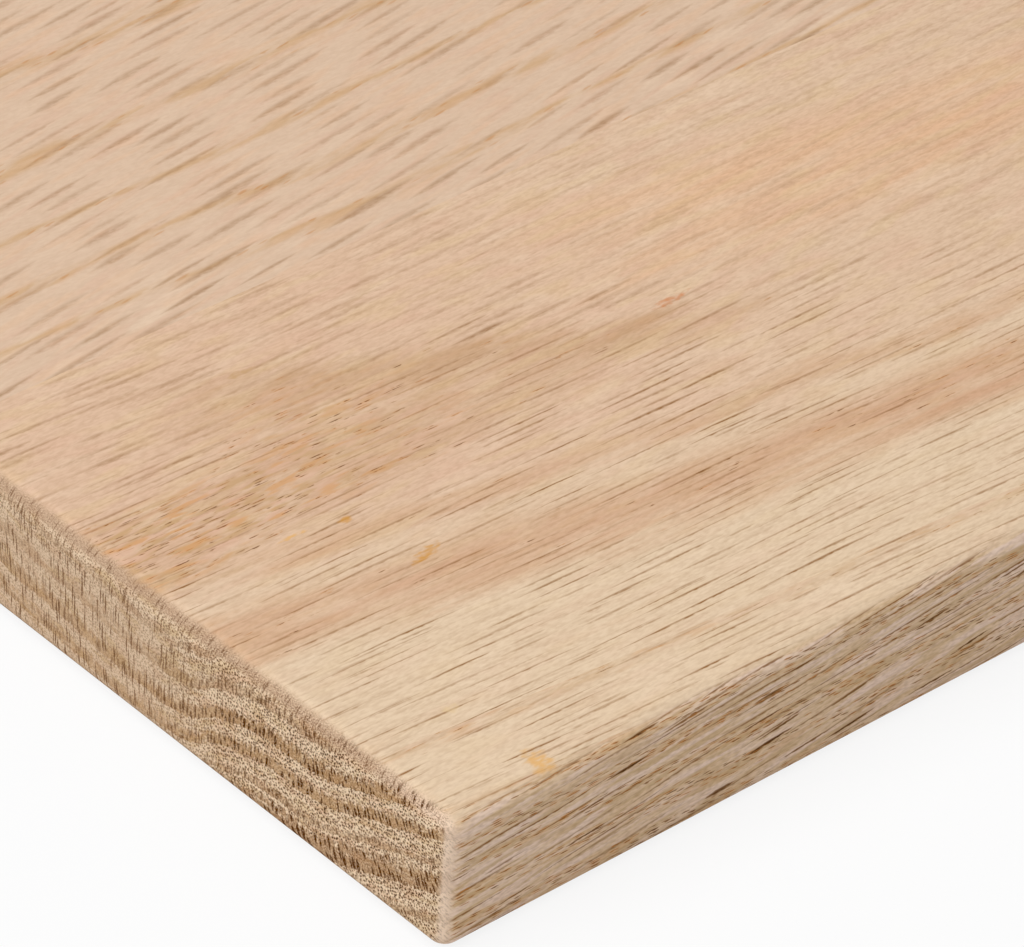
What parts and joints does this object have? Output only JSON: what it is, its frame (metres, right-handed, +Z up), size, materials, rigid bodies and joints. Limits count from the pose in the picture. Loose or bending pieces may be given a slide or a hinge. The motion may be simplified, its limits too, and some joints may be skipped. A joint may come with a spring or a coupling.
{
  "type": "stair tread",
  "caption": "Flat solid oak stair tread, edge-glued from staves with a square front edge, eased along every outside edge and corner.",
  "frame": {"origin": "middle of the underside", "axes": "+X along the length and the grain, -Y out of the front edge (the nosing), +Z up out of the walking face"},
  "size_m": [0.9144, 0.2922, 0.0254],
  "materials": {
    "front_stave_oak": "bare red oak, planed and sanded, pale cream with pink and tan growth bands",
    "back_stave_oak": "bare red oak, planed and sanded, tan with coarse open grain"
  },
  "bodies": {
    "root": {"front_stave": "front_stave_oak", "back_stave": "back_stave_oak"}
  },
  "joints": []
}
